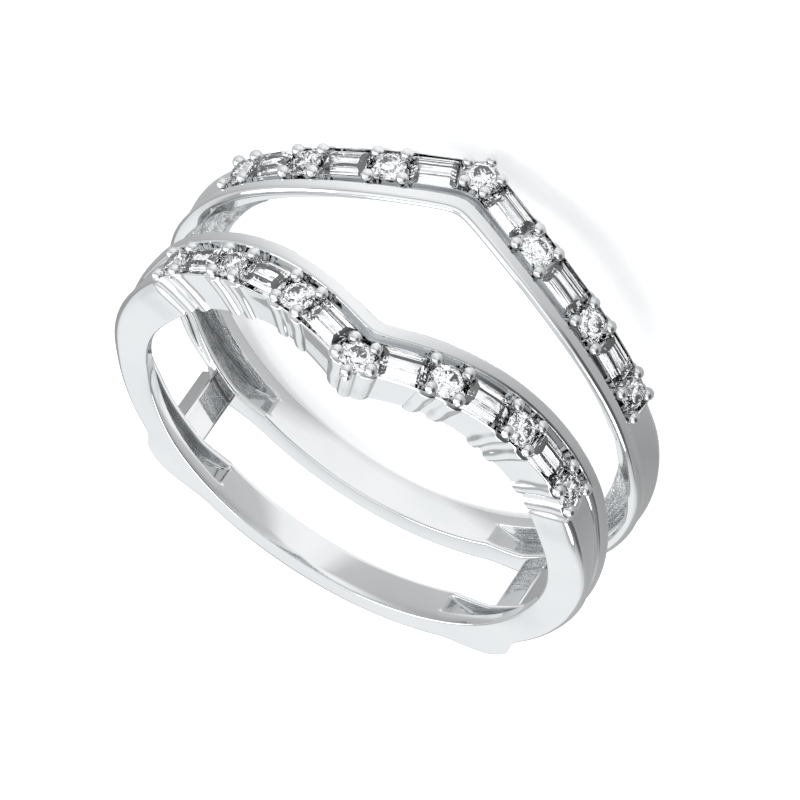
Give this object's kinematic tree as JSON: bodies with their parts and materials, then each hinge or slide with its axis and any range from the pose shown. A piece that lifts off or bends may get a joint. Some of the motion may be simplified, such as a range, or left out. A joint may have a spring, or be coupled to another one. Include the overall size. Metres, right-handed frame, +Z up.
{
  "type": "ring guard enhancer",
  "caption": "Double-band white-gold ring guard with chevron fronts set with alternating round and baguette stones, joined by crossbars so that another ring slides in between.",
  "frame": {"origin": "centre of the bounding box's bottom face, on the surface that the ring lies on", "axes": "+Z up, close to the finger hole's axis; the heads with the stones point to -Y; +X across the ring, from the picture's right to its left"},
  "size_m": [0.0204, 0.0222, 0.0112],
  "materials": {
    "white_gold": "mirror-polished white gold, rough as cast inside the shoulder hollows",
    "round_stone": "clear, brilliant cut",
    "baguette_stone": "clear, step cut"
  },
  "bodies": {
    "root": {"guard_frame": "white_gold", "round_front_1": "round_stone", "baguette_front_2": "baguette_stone", "round_front_3": "round_stone", "baguette_front_4": "baguette_stone", "round_front_5": "round_stone", "baguette_front_6": "baguette_stone", "round_front_7": "round_stone", "baguette_front_8": "baguette_stone", "round_front_9": "round_stone", "baguette_front_10": "baguette_stone", "round_front_11": "round_stone", "baguette_front_12": "baguette_stone", "round_front_13": "round_stone", "round_rear_1": "round_stone", "baguette_rear_2": "baguette_stone", "round_rear_3": "round_stone", "baguette_rear_4": "baguette_stone", "round_rear_5": "round_stone", "baguette_rear_6": "baguette_stone", "round_rear_7": "round_stone", "baguette_rear_8": "baguette_stone", "round_rear_9": "round_stone", "baguette_rear_10": "baguette_stone", "round_rear_11": "round_stone", "baguette_rear_12": "baguette_stone", "round_rear_13": "round_stone"}
  },
  "joints": []
}
